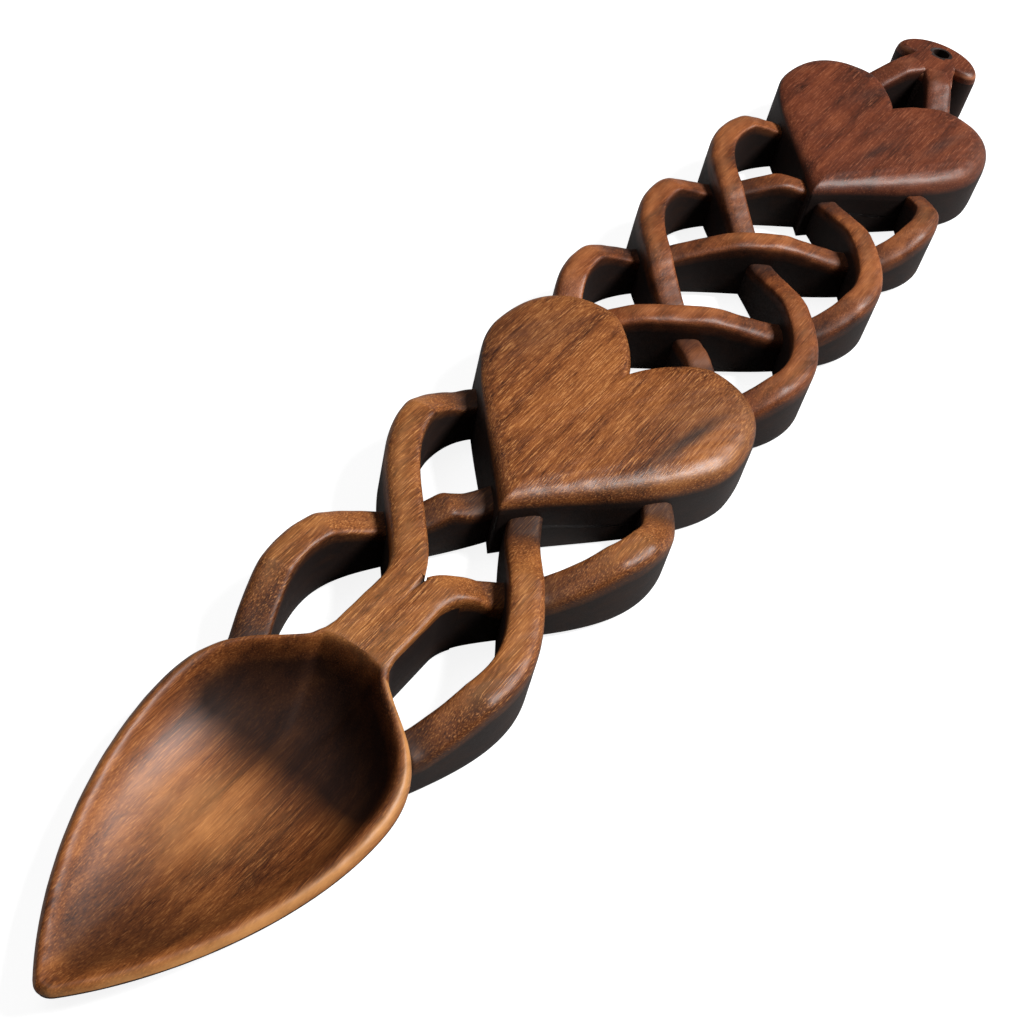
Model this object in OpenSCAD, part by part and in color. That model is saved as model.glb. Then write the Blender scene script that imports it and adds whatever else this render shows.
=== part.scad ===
// Welsh love spoon carved from one blank: bowl, forked stem, knot, heart, four-strand plait, heart, finial.
// The spoon lies on its back. X runs from the tip of the bowl to the finial, Y to the left of that way and
// Z up to the carved front. The origin is under the middle of the spoon, on the surface that it lies on.

/* [Blank] */
// Thickness of the blank, which the fronts of both hearts keep
blank_t = 13.5; // [12:0.5:16]

/* [Bowl] */
// Length of the bowl, from its tip to the neck
bowl_l = 62; // [54:1:74]
// Width of the bowl
bowl_w = 38.8; // [34:0.2:42]
// Distance that the bowl bulges to the right of its middle line near the neck
bowl_lean = 0.6; // [0:0.1:1]
// Height of the rim at the tip of the bowl
rim_h = 7.6; // [7:0.2:9]
// Height of the front of the stem where it runs into the bowl
neck_h = 13; // [11:0.5:13.5]
// Thickness of the wood under the deepest point of the hollow
floor_t = 2.6; // [2:0.2:3.4]
// Width of the lip round the hollow
lip_w = 2.2; // [1.4:0.2:3]
// Distance that the hollow lies off the middle line, to the left
hollow_shift = 0.4; // [0:0.1:0.8]

/* [Stem] */
// Length of the stem, from the bowl to the crotch of the fork
stem_l = 17; // [14:0.5:24]
// Width of the stem
stem_w = 10.4; // [9:0.2:12]

/* [Strands] */
// Width of a strand of the lower knot
knot_w = 5.8; // [5:0.2:6.6]
// Width of a strand of the plait
strand_w = 5.4; // [4.8:0.2:6.4]
// Height of a strand where it passes over another
strand_h = 13.2; // [11:0.2:13.4]
// Depth that a strand dips where it passes under another
strand_dip = 4.4; // [3.6:0.2:5.6]
// Height at which the backs of the strands are cut clear of the surface
strand_back = 0.8; // [0.4:0.2:2]
// Depth of the rounding along the front of a strand, halved on its inner edge, half more on its outer one
strand_crown = 1.8; // [1:0.2:2.4]

/* [Lower knot] */
// Length from the crotch of the fork to the point of the lower heart
knot_l = 20.5; // [18:0.5:26]
// Distance from the middle line to the widest point of the inner strands
inner_reach = 22.2; // [20:0.2:24]
// Distance from the middle line to the widest point of the outer strands
outer_reach = 19; // [17.6:0.2:20.4]

/* [Lower heart] */
// Length of the lower heart
heart_l = 56; // [52:1:64]
// Width of the lower heart
heart_w = 51; // [46:1:56]
// Depth of the notch between the lobes of the lower heart
heart_notch = 13; // [9:0.5:16]

/* [Plait] */
// Length of the plait, from the lobes of the lower heart to the point of the upper heart
plait_l = 65.5; // [58:0.5:76]
// Distance from the side of the lower heart in to the middle of a turn of the plait
plait_inset = 2.5; // [1.5:0.25:4]
// Distance from the lobes of the lower heart to the first turn
plait_lead = 9; // [7:0.5:11]
// Distance that the last turn lies past the point of the upper heart
plait_tail = 6.5; // [5:0.5:8]

/* [Upper heart] */
// Length of the upper heart
top_heart_l = 56.5; // [52:0.5:64]
// Width of the upper heart
top_heart_w = 50; // [46:1:56]
// Depth of the notch between the lobes of the upper heart
top_heart_notch = 11; // [9:0.5:14]

/* [Finial] */
// Length of the finial past the lobes of the upper heart
finial_l = 27.5; // [25:0.5:32]
// Width of the head of the finial
head_w = 21; // [19:0.2:23]
// Length of the head of the finial, from the crotch of the legs to its top
head_l = 17.5; // [16:0.5:19]
// Width of the waist under the lobes of the head
waist_w = 11.4; // [10:0.2:13]
// Height of the front of the head of the finial
head_h = 12.8; // [11:0.2:13.4]
// Width of each leg of the finial
leg_w = 6.2; // [5:0.2:7]
// Distance that the finial stands off the middle line, to the left
finial_shift = 1.2; // [0:0.2:2]
// Diameter of the hole that the spoon hangs by
hole_d = 4; // [3:0.5:5]
// Distance from the top of the finial to the middle of the hole
hole_inset = 5; // [4.5:0.5:6]

/* [Hidden] */

// Stations along the spoon
total_l = bowl_l + stem_l + knot_l + heart_l + plait_l + top_heart_l + finial_l;
tip_x = -total_l / 2;
neck_x = tip_x + bowl_l;
fork_x = neck_x + stem_l;
heart_x = fork_x + knot_l;
lobes_x = heart_x + heart_l;
top_heart_x = lobes_x + plait_l;
top_lobes_x = top_heart_x + top_heart_l;
end_x = top_lobes_x + finial_l;

// Margin by which a cutter runs past the surface that it cuts
past = 1;
// Run of the dip on each side of a crossing, and its level share under the strand that passes over
dip_run = 12.5;
dip_floor = 0.2;
// Steps along one curve of an outline, and along one pitch of the plait
steps = 7;
pitch_steps = 15;

// Point on a cubic curve with four control points
function cubic(p, t) =
    pow(1 - t, 3) * p[0] + 3 * pow(1 - t, 2) * t * p[1] + 3 * (1 - t) * t * t * p[2] + t * t * t * p[3];

// Points along a cubic curve, without its last one
function run(p, n = steps) = [for (i = [0:n - 1]) cubic(p, i / n)];

// Closed outline from its left half: along the right side first, then back along the left
function both_sides(half) = concat(
    [for (p = half) [p.x, -p.y]],
    [for (i = [len(half) - 1:-1:0]) if (half[i].y > 0.01) half[i]]
);

// Solid through closed rings of equally many points, each ring clockwise to an eye that follows the rings
module loft(rings) {
    n = len(rings[0]);
    last = len(rings) - 1;
    mid = [for (r = [rings[0], rings[last]]) [for (k = [0:2]) [for (p = r) p[k]] * [for (p = r) 1] / n]];
    points = concat([for (r = rings) each r], mid);
    sides = [
        for (j = [0:last - 1], i = [0:n - 1])
            let (a = j * n + i, b = j * n + (i + 1) % n)
                each [[a, a + n, b + n], [a, b + n, b]]
    ];
    caps = [
        for (i = [0:n - 1])
            let (j = (i + 1) % n)
                each [[n * (last + 1), i, j], [n * (last + 1) + 1, last * n + j, last * n + i]]
    ];
    polyhedron(points, concat(sides, caps));
}

// Slab with rounded edges: the outline drawn in towards a centre, ring by ring of [scale, height]
module slab(outline, centre, profile) {
    loft([for (s = profile) [
        for (p = outline) [centre.x + (p.x - centre.x) * s[0], centre.y + (p.y - centre.y) * s[0], s[1]]
    ]]);
}

// Half outline of a heart from its point to its notch
function heart_half(l, w, notch) =
    let (
        wide = [0.68 * l, w / 2],
        lobe = [l, 0.23 * w],
        cleft = [l - notch, 0]
    )
    concat(
        run([[0, 0], [0.24 * l, 0.2 * w], [wide.x - 0.21 * l, wide.y], wide], 10),
        run([wide, [0.88 * l, wide.y], [l, 0.42 * w], lobe]),
        run([lobe, [l, 0.17 * w], [cleft.x + 0.45 * notch, 0.045 * w], cleft]),
        [cleft]
    );

// Heart of full thickness with a broad rounded edge on the front, low = 0 or below the back for a cutter
module heart_slab(x, l, w, notch, low = 0) {
    centre = [x + 0.53 * l, 0];
    outline = [for (p = both_sides(heart_half(l, w, notch))) [x + p.x, p.y]];
    profile = [
        [0.97, low], [1, 1.2], [1, blank_t - 3.6], [0.99, blank_t - 2.4],
        [0.963, blank_t - 1.3], [0.92, blank_t - 0.6], [0.84, blank_t - 0.2], [0.6, blank_t],
    ];
    slab(outline, centre, profile);
}

// Dip of a strand near the crossings where it passes under: a straight cut on each side of a level stretch
function bump(u) = max(0, min(1, (1 - abs(u)) / (1 - dip_floor)));
function front(x, lows) = strand_h - strand_dip * max([0, for (c = lows) bump((x - c) / dip_run)]);

// Cross-section of a strand: flat back, upright sides and a front that is rounded more on its outer edge
function strand_ring(p, way, w, top, low) =
    let (
        lean = max(-1, min(1, p.y / inner_reach)),
        front_half = [for (a = [180:-22.5:0])
            let (
                outward = -sign(cos(a)) * lean,
                share = sign(cos(a)) * pow(abs(cos(a)), 0.55 + 0.25 * outward),
                drop = strand_crown * (1 + 0.5 * outward)
            )
                [share, top - drop * (1 - pow(sin(a), 0.7))]]
    )
    [
        for (q = concat([[-1, low]], front_half, [[1, low]]))
            [p.x + way.y * q[0] * w / 2, p.y - way.x * q[0] * w / 2, q[1]]
    ];

// Strand along a path of points [x, y], dipped at the stations in lows
module strand(path, lows, low, w) {
    last = len(path) - 1;
    loft([
        for (i = [0:last])
            let (d = path[min(i + 1, last)] - path[max(i - 1, 0)], way = d / norm(d))
                strand_ring(path[i], way, w, front(path[i].x, lows), low)
    ]);
}

// Paths of the lower knot, for side = 1 on the left and -1 on the right
fork_off = stem_w / 2 - knot_w / 2 + 0.15;
function flip(points, side) = [for (p = points) [p.x, side * p.y]];
function inner_path(side) = flip(concat(
    [[fork_x - 8, fork_off]],
    run([
        [fork_x - 4, fork_off], [fork_x + 6, fork_off],
        [heart_x - 4, inner_reach], [heart_x + 11, inner_reach]
    ], 12),
    run([
        [heart_x + 11, inner_reach], [heart_x + 17, inner_reach], [heart_x + 23, 20], [heart_x + 27, 12]
    ], 6)
), side);
function outer_path(side) = flip(concat(
    run([[neck_x - 9.5, 13], [neck_x - 2, 16.5], [neck_x + 4, outer_reach], [neck_x + 10, outer_reach]], 6),
    run([
        [neck_x + 10, outer_reach], [fork_x + 4, outer_reach], [heart_x - 9, 9], [heart_x + 8, 1.5]
    ], 12)
), side);

// Station where an inner and an outer strand cross
function meeting(a, b, i = 0) = a[i].y > lookup(a[i].x, b) ? a[i].x : meeting(a, b, i + 1);
knot_cross = meeting(inner_path(1), outer_path(1));

// Plait: each strand swings from side to side as a cosine
plait_w = heart_w - 2 * plait_inset;
pitch = (plait_l - plait_lead + plait_tail) / 2;
first_x = lobes_x + plait_lead;
function weave(turn_x, side, from, to) =
    let (n = round((to - from) * pitch_steps))
    [
        for (i = [0:n])
            let (x = at(from + (to - from) * i / n))
                [x, side * plait_w / 2 * cos(90 * (x - turn_x) / pitch)]
    ];
// Stations on the plait, in pitches from the first turn
function at(u) = first_x + u * pitch;
module plait(turn, side, from, to, lows, low) {
    strand(weave(at(turn), side, from, to), [for (u = lows) at(u)], low, strand_w);
}

// Plait strands: 1 turns first on the left, 2 first on the right, 3 and 4 cross first in the middle
module plait_1(low = strand_back) {
    plait(0, 1, -0.6, 2.6, [-0.6, 0.5, 1.5, 2.6], low);
}
module plait_2(low = strand_back) {
    plait(0, -1, -0.6, 2.6, [-0.6, 1, 2.6], low);
}
module plait_3(low = strand_back) {
    plait(1, 1, -0.5, 2, [-0.3, 0, 1.5, 2.1], low);
}
module plait_4(low = strand_back) {
    plait(1, -1, -0.5, 2, [-0.6, 0.5, 2], low);
}

module inner(side, low = strand_back) {
    lows = side > 0 ? [heart_x + 22] : [knot_cross, heart_x + 22];
    strand(inner_path(side), lows, low, knot_w);
}
module outer(side, low = strand_back) {
    lows = side > 0 ? [neck_x - 8, knot_cross, heart_x + 3] : [neck_x - 8, heart_x + 3];
    strand(outer_path(side), lows, low, knot_w);
}
module lower_heart_slab(low = 0) { heart_slab(heart_x, heart_l, heart_w, heart_notch, low); }
module upper_heart_slab(low = 0) { heart_slab(top_heart_x, top_heart_l, top_heart_w, top_heart_notch, low); }

// Half outline of the bowl from its tip to the neck
function bowl_half(l, w, neck) = concat(
    run([[0, 0], [0, 0.9], [0.4, 1.4], [0.8, 1.8]], 3),
    run([[0.8, 1.8], [0.17 * l, 0.28 * w], [0.45 * l, 0.5 * w], [0.69 * l, 0.5 * w]], 9),
    run([[0.69 * l, 0.5 * w], [0.86 * l, 0.5 * w], [0.9 * l, 0.32 * w], [0.97 * l, neck / 2 + 1.2]], 8),
    [[l, neck / 2]]
);

// Height of the rim, which climbs from the tip to the neck
function rim(x) = rim_h + (neck_h - rim_h) * pow(max(0, (x - tip_x) / bowl_l), 2.5);

// Sideways bulge of the bowl, which is nil at the tip and at the neck
function bulge(x) = -bowl_lean * sin(180 * pow((x - tip_x) / bowl_l, 2));

// Outside of the bowl: a convex back, an upright edge and a rounded lip
module bowl_shell() {
    centre = tip_x + 0.62 * bowl_l;
    outline = both_sides(bowl_half(bowl_l, bowl_w, stem_w + 1.2));
    profile = [
        [0.2, 0], [0.45, 0.04], [0.68, 0.17], [0.86, 0.42], [0.95, 0.68], [0.985, 0.84],
        [1, 0.92], [0.99, 0.98], [0.95, 1],
    ];
    loft([for (s = profile) [
        for (p = outline)
            let (x = centre + (tip_x + p.x - centre) * s[0])
                [x, bulge(x) + p.y * s[0], rim(x) * s[1]]
    ]]);
}

// Hollow of the bowl, deepest towards the neck, open above the rim
module bowl_hollow() {
    l = bowl_l - lip_w - 1;
    centre = tip_x + 0.7 * bowl_l;
    outline = both_sides(bowl_half(l, bowl_w - 2 * lip_w, stem_w - 0.8));
    profile = [
        [0.08, 0], [0.3, 0.02], [0.5, 0.1], [0.68, 0.25], [0.83, 0.47], [0.93, 0.72], [1, 1], [1.02, 1.2],
    ];
    loft([for (s = profile) [
        for (p = outline)
            let (
                x = centre + (tip_x + lip_w + p.x - centre) * s[0],
                off = bulge(x) + hollow_shift * (1 - pow((x - centre) / bowl_l, 2))
            )
                [x, off + p.y * s[0], floor_t + (rim(x) - floor_t) * s[1]]
    ]]);
}

module bowl() {
    color("peru")
        difference() {
            bowl_shell();
            bowl_hollow();
        }
}

// Stem: its heel flares under the bowl and its other end widens to both tines at the crotch
module stem() {
    heel = 14;
    stations = [-heel, -heel / 2, 0, 0.1, 0.25, 0.45, 0.65, 0.85, 1];
    color("chocolate")
        difference() {
            loft([
                for (s = stations)
                    let (
                        x = s < 0 ? neck_x + s : neck_x + s * stem_l,
                        flare = s < 0 ? 0.6 - 0.1 * s : 0.6 * pow(1 - s, 4),
                        tines = 2 * lookup(x, inner_path(1)) + knot_w,
                        w = max(stem_w + 2 * flare, tines),
                        top = s < 0 ? rim(x) : neck_h + (strand_h - neck_h) * s
                    )
                        strand_ring([x, 0], [1, 0], w, top, strand_back)
            ]);
            bowl_shell();
            bowl_hollow();
        }
}

// Keeps what lies past the crotch of the fork
module past_fork() {
    intersection() {
        children();
        translate([fork_x, -heart_w, -past]) cube([total_l, 2 * heart_w, blank_t + 2 * past]);
    }
}

module left_inner_strand() {
    color("sienna")
        difference() {
            past_fork() inner(1);
            outer(1, -past);
            lower_heart_slab(-past);
        }
}

module right_inner_strand() {
    color("sienna")
        difference() {
            past_fork() inner(-1);
            lower_heart_slab(-past);
        }
}

module left_outer_strand() {
    color("saddlebrown")
        difference() {
            outer(1);
            bowl_shell();
            lower_heart_slab(-past);
        }
}

module right_outer_strand() {
    color("saddlebrown")
        difference() {
            outer(-1);
            inner(-1, -past);
            bowl_shell();
            lower_heart_slab(-past);
        }
}

module lower_heart() {
    color("sienna") lower_heart_slab();
}

module plait_strand_1() {
    color("saddlebrown")
        difference() {
            plait_1();
            plait_2(-past);
            lower_heart_slab(-past);
            upper_heart_slab(-past);
        }
}

module plait_strand_2() {
    color("chocolate")
        difference() {
            plait_2();
            plait_3(-past);
            plait_4(-past);
            lower_heart_slab(-past);
            upper_heart_slab(-past);
        }
}

module plait_strand_3() {
    color("sienna")
        difference() {
            plait_3();
            plait_1(-past);
            lower_heart_slab(-past);
            upper_heart_slab(-past);
        }
}

module plait_strand_4() {
    color("peru")
        difference() {
            plait_4();
            plait_1(-past);
            plait_3(-past);
            lower_heart_slab(-past);
            upper_heart_slab(-past);
        }
}

module upper_heart() {
    color("sienna") upper_heart_slab();
}

// Finial: two legs lean together from the lobes of the upper heart into the foot of the head
collar_x = end_x - head_l;
module leg(side) {
    path = flip(run([
        [top_lobes_x - 9, 12.5], [top_lobes_x - 2, 10.6], [collar_x - 4, 6.6], [collar_x + 3, 2.4]
    ]), side);
    color("saddlebrown")
        difference() {
            translate([0, finial_shift, 0])
                difference() {
                    strand(path, [top_lobes_x - 4], strand_back, leg_w);
                    translate([collar_x, -head_w, -past]) cube([finial_l, 2 * head_w, blank_t + 2 * past]);
                    translate([top_lobes_x - finial_l, side > 0 ? -head_w : 0, -past])
                        cube([2 * finial_l, head_w, blank_t + 2 * past]);
                }
            upper_heart_slab(-past);
        }
}
module finial_left_leg() { leg(1); }
module finial_right_leg() { leg(-1); }

// Half outline of the head: from a foot that spans both legs in to the waist, out under a lobe, round the top
function head_half() =
    let (
        foot = leg_w + 1.8,
        waist = waist_w / 2,
        wide = head_w / 2,
        lobe_x = 0.45 * head_l,
        wide_x = 0.6 * head_l
    )
    concat(
        run([[0, foot], [3, foot - 0.8], [lobe_x - 2, waist + 0.3], [lobe_x, waist]], 4),
        run([[lobe_x, waist], [lobe_x - 0.5, 0.72 * wide], [lobe_x, wide], [wide_x, wide]], 6),
        run([[wide_x, wide], [0.76 * head_l, wide], [head_l, 0.66 * wide], [head_l, 0]], 8),
        [[head_l, 0]]
    );

// Head, pierced by the hole that the spoon hangs by
module finial_head() {
    outline = [for (p = both_sides(head_half())) [collar_x + p.x, p.y]];
    profile = [
        [0.96, 0], [1, 0.8], [1, head_h - 2.6], [0.97, head_h - 1.2], [0.9, head_h - 0.35], [0.7, head_h],
    ];
    color("chocolate")
        translate([0, finial_shift, 0])
            difference() {
                slab(outline, [collar_x + 0.6 * head_l, 0], profile);
                translate([end_x - hole_inset, 0, -past])
                    cylinder(h = blank_t + 2 * past, d = hole_d, $fn = 48);
            }
}

bowl();
stem();
left_inner_strand();
right_inner_strand();
left_outer_strand();
right_outer_strand();
lower_heart();
plait_strand_1();
plait_strand_2();
plait_strand_3();
plait_strand_4();
upper_heart();
finial_left_leg();
finial_right_leg();
finial_head();
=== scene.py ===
# Welsh love spoon, carved from one blank of close-grained wood, stained brown and rubbed to a satin finish.
# The sections follow the spoon from its bowl up to its finial, and then the bench that it is pictured on.
import math

import bpy
import numpy as np
from mathutils import Matrix, Vector


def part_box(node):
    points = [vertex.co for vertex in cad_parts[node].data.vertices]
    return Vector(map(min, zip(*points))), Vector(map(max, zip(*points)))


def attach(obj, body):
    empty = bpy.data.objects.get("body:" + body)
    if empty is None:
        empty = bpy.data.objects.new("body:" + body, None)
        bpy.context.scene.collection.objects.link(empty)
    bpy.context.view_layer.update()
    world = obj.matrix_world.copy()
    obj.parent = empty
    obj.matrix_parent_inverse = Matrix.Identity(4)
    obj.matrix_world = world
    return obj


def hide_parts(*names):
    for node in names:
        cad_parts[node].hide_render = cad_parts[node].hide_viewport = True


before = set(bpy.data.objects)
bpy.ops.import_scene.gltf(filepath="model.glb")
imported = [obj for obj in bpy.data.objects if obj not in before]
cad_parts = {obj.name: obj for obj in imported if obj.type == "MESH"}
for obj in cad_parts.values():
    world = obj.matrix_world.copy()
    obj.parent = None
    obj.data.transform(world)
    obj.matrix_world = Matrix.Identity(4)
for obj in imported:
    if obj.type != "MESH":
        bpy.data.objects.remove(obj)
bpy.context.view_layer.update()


# The bowl
# A pointed bowl, hollowed with a bent gouge, scraped and sanded, with a rounded lip. Its back is
# shaped with a knife. It is the widest open face of the blank, so the grain and the stain show most here.
MM = 0.001
tip_x, neck_x = (corner.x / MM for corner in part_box("bowl"))
fork_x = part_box("stem")[1].x / MM
heart_x, lobes_x = (corner.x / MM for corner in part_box("lower_heart"))
bowl_l = neck_x - tip_x
bowl_w = 38.8
bowl_lean = 0.6
rim_h = 7.6
neck_h = 13.0
floor_t = 2.6
lip_w = 2.2
hollow_shift = 0.4
stem_w = 10.4
strand_h = 13.2
knot_w = 5.8
crown_h = 1.8
back_h = 0.8
knife_depth = 0.05


def cubic(points, count):
    """Cubic curve: its four points weighed by (1-t)^3, 3t(1-t)^2, 3t^2(1-t) and t^3, with t from 0 to 1."""
    t = np.linspace(0, 1, count)[:, None]
    a, b, c, d = np.asarray(points, float)
    return (1 - t) ** 3 * a + 3 * t * (1 - t) ** 2 * b + 3 * t * t * (1 - t) * c + t**3 * d


def through(stops, count):
    """Smooth run through stops: on each stretch the cubic that leaves and meets its two stops along the
    chord between their neighbours."""
    stops = np.asarray(stops, float)
    padded = np.concatenate([2 * stops[:1] - stops[1:2], stops, 2 * stops[-1:] - stops[-2:-1]])
    place = np.linspace(0, len(stops) - 1, count)
    k = np.minimum(place.astype(int), len(stops) - 2)
    t = (place - k).reshape((-1,) + (1,) * (stops.ndim - 1))
    a, b, c, d = (padded[k + i] for i in range(4))
    return 0.5 * (2 * b + (c - a) * t + (2 * a - 5 * b + 4 * c - d) * t**2 + (3 * b - a - 3 * c + d) * t**3)


def evenly(points, count):
    """The same line with its points at equal steps of length along it."""
    points = np.asarray(points, float)
    run = np.concatenate([[0], np.cumsum(np.linalg.norm(np.diff(points, axis=0), axis=1))])
    at = np.linspace(0, run[-1], count)
    return np.stack([np.interp(at, run, points[:, k]) for k in range(points.shape[1])], 1)


def knife(x, y):
    """Trace of the knife: waves of 4 to 7 mm crossing at odd angles, multiplied in pairs and added up."""
    return knife_depth * (
        np.sin(0.83 * x + 0.41 * y) * np.sin(0.47 * x - 1.07 * y)
        + 0.6 * np.sin(1.31 * x + 0.9 * y + 0.4) * np.sin(0.29 * x + 1.43 * y + 1.9)
    )


def skin(name, grid, stain_and_shade, wear_and_highlight):
    """Closed skin over grid[ring, place round it]: four-sided faces between neighbours, and a fan from the
    middle of the first and of the last ring. A ring close beside each end keeps the bend into the fan
    short. The two values, 0 to 1, are the darkening from real stain and painted shade, and the lightening
    from painted highlight and some wear."""
    n = grid.shape[1]
    beside = [np.broadcast_to(value, grid.shape[:2]) for value in (stain_and_shade, wear_and_highlight)]
    close = 0.03
    grid, stain_and_shade, wear_and_highlight = (
        np.concatenate([value[:1], (1 - close) * value[:1] + close * value[1:2], value[1:-1],
                        close * value[-2:-1] + (1 - close) * value[-1:], value[-1:]])
        for value in [grid] + beside
    )
    rings = len(grid)
    ends = [grid[0].mean(0), grid[-1].mean(0)]
    points = np.concatenate([grid.reshape(-1, 3), ends])
    i, j = np.meshgrid(np.arange(rings - 1), np.arange(n), indexing="ij")
    k = (j + 1) % n
    quads = np.stack([i * n + j, (i + 1) * n + j, (i + 1) * n + k, i * n + k], -1).reshape(-1, 4)
    j = np.arange(n)
    k = (j + 1) % n
    first = np.stack([j, k, np.full(n, rings * n)], 1)
    last = np.stack([(rings - 1) * n + k, (rings - 1) * n + j, np.full(n, rings * n + 1)], 1)
    across = points[quads[:, 2]] - points[quads[:, 0]]
    along = points[quads[:, 3]] - points[quads[:, 1]]
    flow = (np.cross(across, along) * points[quads].mean(1)).sum()
    faces = [f[:, ::-1] if flow < 0 else f for f in (quads, first, last)]
    mesh = bpy.data.meshes.new(name)
    mesh.from_pydata((points * MM).tolist(), [], [f for part in faces for f in part.tolist()])
    mesh.polygons.foreach_set("use_smooth", np.ones(len(mesh.polygons), bool))
    for label, values in (("stain_and_shade", stain_and_shade), ("wear_and_highlight", wear_and_highlight)):
        values = values.reshape(-1)
        padded = np.concatenate([values, values[:1], values[-1:]]).astype(np.float32)
        mesh.attributes.new(label, "FLOAT", "POINT").data.foreach_set("value", np.clip(padded, 0, 1))
    mesh.update()
    piece = bpy.data.objects.new(name, mesh)
    bpy.context.scene.collection.objects.link(piece)
    return piece


def dress(piece, node, material):
    """Hands a finished piece to the frame in place of its solid, with its material."""
    piece.data.materials.append(material)
    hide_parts(node)
    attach(piece, "root")


def add(tree, kind, sockets=(), **choices):
    """One node of a tree. Each socket gets a plain value, or a link when its value is another's output."""
    node = tree.nodes.new(kind)
    for key, value in choices.items():
        setattr(node, key, value)
    for key, value in dict(sockets).items():
        if isinstance(value, bpy.types.NodeSocket):
            tree.links.new(value, node.inputs[key])
        else:
            node.inputs[key].default_value = value
    return node


def group(name, inputs, outputs):
    """Empty shader group with its numbers in and out: (name, value) pairs in, names out."""
    tree = bpy.data.node_groups.new(name, "ShaderNodeTree")
    for label, value in inputs:
        socket = tree.interface.new_socket(label, in_out="INPUT", socket_type="NodeSocketFloat")
        socket.default_value = value
    for label in outputs:
        tree.interface.new_socket(label, in_out="OUTPUT", socket_type="NodeSocketFloat")
    return tree, tree.nodes.new("NodeGroupInput").outputs, tree.nodes.new("NodeGroupOutput")


def streaks(tree, along, across, detail, shift=0.0):
    """Noise drawn out along the blank: along and across are the size of one streak in millimetres."""
    place = add(tree, "ShaderNodeTexCoord").outputs["Object"]
    scale = (1 / (along * MM), 1 / (across * MM), 1 / (across * MM))
    moved = add(tree, "ShaderNodeMapping", {"Vector": place, "Scale": scale, "Location": (shift, shift, 0)})
    noise = add(tree, "ShaderNodeTexNoise", {"Vector": moved.outputs[0], "Scale": 1.0, "Detail": detail,
                                             "Roughness": 0.6, "Distortion": 0.25})
    return noise.outputs[0]


def sum_of(tree, start, terms):
    """start + each weight x (noise - 0.5), added up."""
    total = start
    for noise, weight in terms:
        centred = add(tree, "ShaderNodeMath", {0: noise, 1: 0.5}, operation="SUBTRACT").outputs[0]
        raised = add(tree, "ShaderNodeMath", {0: centred, 1: weight, 2: total}, operation="MULTIPLY_ADD")
        total = raised.outputs[0]
    return total


def grain_group():
    """Grain: fine fibres and flecks, growth bands a few millimetres wide and slow blotches where the wood
    drank more stain, added up to Tone. Hairs are the thin pale fibres that the stain left alone. Relief is
    the fibres and flecks alone."""
    tree, given, made = group(
        "grain", [("Fine", 1.0), ("Bands", 0.5), ("Blotches", 0.6)], ["Tone", "Hairs", "Relief"]
    )
    fibres = streaks(tree, 9, 0.2, 2.0)
    flecks = streaks(tree, 1.6, 0.17, 2.0, 2.3)
    fine = sum_of(tree, 0.5, [(fibres, 0.8), (flecks, 0.5)])
    bands = streaks(tree, 50, 2.6, 2.0, 3.7)
    blotches = streaks(tree, 17, 8, 2.0, 9.1)
    parts = [(fine, given["Fine"]), (bands, given["Bands"]), (blotches, given["Blotches"])]
    tone = sum_of(tree, 0.5, parts)
    hairs = add(tree, "ShaderNodeMapRange", {"Value": fine, "From Min": 0.55, "From Max": 0.72},
                interpolation_type="SMOOTHSTEP").outputs[0]
    tree.links.new(tone, made.inputs["Tone"])
    tree.links.new(hairs, made.inputs["Hairs"])
    tree.links.new(fine, made.inputs["Relief"])
    return tree


def stain_and_shade_group():
    """Real stain and painted shade: the piece's own darkening value, made uneven by brush-sized patches."""
    tree, given, made = group("stain_and_painted_shade", [("Unevenness", 0.35)], ["Mask"])
    own = add(tree, "ShaderNodeAttribute", attribute_name="stain_and_shade").outputs["Fac"]
    patches = streaks(tree, 9, 3, 3.0, 5.3)
    mask = sum_of(tree, own, [(patches, given["Unevenness"])])
    spread = add(tree, "ShaderNodeMath", {0: mask, 1: own}, operation="MULTIPLY").outputs[0]
    soft = add(tree, "ShaderNodeMath", {0: spread, 1: 0.5}, operation="POWER", use_clamp=True).outputs[0]
    tree.links.new(soft, made.inputs["Mask"])
    return tree


def wear_and_highlight_group():
    """Painted highlight and some wear: the piece's own lightening value, broken up by small patches."""
    tree, given, made = group("painted_highlight_and_wear", [("Breaks", 1.2)], ["Mask"])
    own = add(tree, "ShaderNodeAttribute", attribute_name="wear_and_highlight").outputs["Fac"]
    patches = streaks(tree, 5, 2, 3.0, 1.9)
    mask = sum_of(tree, own, [(patches, given["Breaks"])])
    spread = add(tree, "ShaderNodeMath", {0: mask, 1: own}, operation="MULTIPLY", use_clamp=True).outputs[0]
    tree.links.new(spread, made.inputs["Mask"])
    return tree


GRAIN, STAIN_AND_SHADE, WEAR_AND_HIGHLIGHT = grain_group(), stain_and_shade_group(), wear_and_highlight_group()
# Colour of real stain and of painted shade where they gather.
nearly_black = (0.011, 0.005, 0.004)


def blend(tree, share, below, above):
    """Colour between two colours, each a plain colour or another node's output."""
    node = add(tree, "ShaderNodeMix", {"Factor": share}, data_type="RGBA")
    for socket, colour in zip([socket for socket in node.inputs if socket.type == "RGBA"], (below, above)):
        if isinstance(colour, bpy.types.NodeSocket):
            tree.links.new(colour, socket)
        else:
            socket.default_value = (*colour, 1)
    return next(socket for socket in node.outputs if socket.type == "RGBA")


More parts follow.
